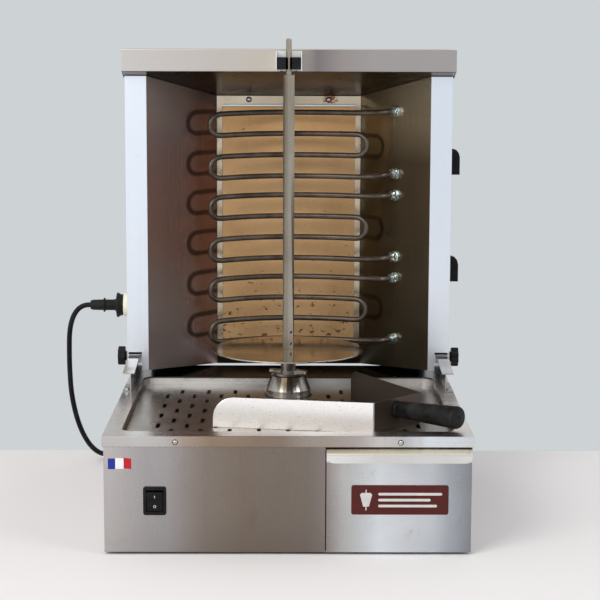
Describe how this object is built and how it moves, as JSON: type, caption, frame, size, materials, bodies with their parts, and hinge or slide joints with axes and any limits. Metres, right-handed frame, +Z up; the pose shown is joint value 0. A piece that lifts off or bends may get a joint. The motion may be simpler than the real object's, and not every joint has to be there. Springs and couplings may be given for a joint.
{
  "type": "rotisserie oven",
  "caption": "Table-top vertical grill: a turning spit with a meat disc stands over a sunk drip tray before an upright heating head that slides on rails, over a base with a drip drawer.",
  "frame": {"origin": "on the table under the middle of the machine, its cord and plug left out", "axes": "+X to the right as the front is seen, +Y from the front to the back, +Z up"},
  "size_m": [0.7241, 0.7075, 0.801],
  "materials": {
    "brushed_steel": "brushed",
    "heat_tinted_steel": "polished, browned by heat",
    "fire_brick": "rough fired clay",
    "element_sheath": "oxidised",
    "zinc": "zinc plated",
    "black_plastic": "fine satin",
    "black_rubber": "matt",
    "cream_plastic": "semi gloss",
    "badge_red": "dark red enamel",
    "motor_grey": "painted grey"
  },
  "bodies": {
    "base": {"base_shell": "brushed_steel", "front_panel": "brushed_steel", "deck_lid": "brushed_steel", "perforated_tray": "brushed_steel", "drip_pan": "brushed_steel", "drawer_divider": "brushed_steel", "drawer_runner_left": "brushed_steel", "drawer_runner_right": "brushed_steel", "switch_bezel": "black_plastic", "foot_front_left": "black_rubber", "foot_front_right": "black_rubber", "foot_back_left": "black_rubber", "foot_back_right": "black_rubber", "gearmotor": "motor_grey", "motor_bracket": "brushed_steel", "hub_cone": "brushed_steel", "slide_rail_left": "brushed_steel", "slide_rail_right": "brushed_steel", "base_gland": "black_plastic", "cord_lower": "black_rubber"},
    "drawer": {"drawer_front": "brushed_steel", "drawer_tray": "brushed_steel", "badge": "badge_red"},
    "rocker": {"rocker": "black_plastic"},
    "spit": {"drive_coupling": "brushed_steel", "spit_bar": "brushed_steel"},
    "disc": {"meat_disc": "brushed_steel"},
    "head": {"head_side_left": "brushed_steel", "head_side_right": "brushed_steel", "hood": "brushed_steel", "ceiling_reflector": "heat_tinted_steel", "reflector_left": "heat_tinted_steel", "reflector_right": "heat_tinted_steel", "brick_frame": "brushed_steel", "fire_brick": "fire_brick", "head_back": "brushed_steel", "heating_element_1": "element_sheath", "heating_element_2": "element_sheath", "heating_element_3": "element_sheath", "element_gland_1_upper": "zinc", "element_gland_1_lower": "zinc", "element_gland_2_upper": "zinc", "element_gland_2_lower": "zinc", "element_gland_3_upper": "zinc", "element_gland_3_lower": "zinc", "bearing_bracket": "brushed_steel", "bearing_block": "black_plastic", "heat_regulator_upper": "black_plastic", "heat_regulator_lower": "black_plastic", "clamp_plate_left": "brushed_steel", "clamp_plate_right": "brushed_steel", "inlet_socket": "cream_plastic", "plug": "black_rubber", "cord_upper": "black_rubber"},
    "control_upper": {"control_knob_upper": "black_plastic"},
    "control_lower": {"control_knob_lower": "black_plastic"},
    "clamp_left": {"clamp_knob_left": "black_plastic"},
    "clamp_right": {"clamp_knob_right": "black_plastic"},
    "scoop": {"scoop_pan": "brushed_steel", "scoop_handle": "black_rubber"}
  },
  "joints": [
    {"name": "head_slide", "type": "slide", "parent": "base", "child": "head", "axis": [0, 1, 0], "range_m": [-0.02, 0.02]},
    {"name": "spit_spin", "type": "hinge", "parent": "base", "child": "spit", "pos_m": [0, 0.082, 0.4], "axis": [0, 0, 1], "continuous": true},
    {"name": "disc_height", "type": "slide", "parent": "spit", "child": "disc", "axis": [0, 0, 1], "range_m": [0, 0.042]},
    {"name": "drawer_slide", "type": "slide", "parent": "base", "child": "drawer", "axis": [0, -1, 0], "range_m": [0, 0.27]},
    {"name": "power_switch", "type": "hinge", "parent": "base", "child": "rocker", "pos_m": [-0.208, -0.312, 0.0865], "axis": [-1, 0, 0], "range_deg": [0, 14]},
    {"name": "control_knob_upper_turn", "type": "hinge", "parent": "head", "child": "control_upper", "pos_m": [0.29, 0.234, 0.579], "axis": [-1, 0, 0], "range_deg": [0, 270]},
    {"name": "control_knob_lower_turn", "type": "hinge", "parent": "head", "child": "control_lower", "pos_m": [0.29, 0.234, 0.382], "axis": [-1, 0, 0], "range_deg": [0, 270]},
    {"name": "clamp_knob_left_turn", "type": "hinge", "parent": "head", "child": "clamp_left", "pos_m": [-0.3, 0.168, 0.229], "axis": [-1, 0, 0], "range_deg": [0, 540]},
    {"name": "clamp_knob_right_turn", "type": "hinge", "parent": "head", "child": "clamp_right", "pos_m": [0.3, 0.168, 0.229], "axis": [1, 0, 0], "range_deg": [0, 540]},
    {"name": "scoop_lift_off", "type": "slide", "parent": "base", "child": "scoop", "axis": [0.507, -0.493, 0.707], "range_m": [0, 0.15]}
  ]
}
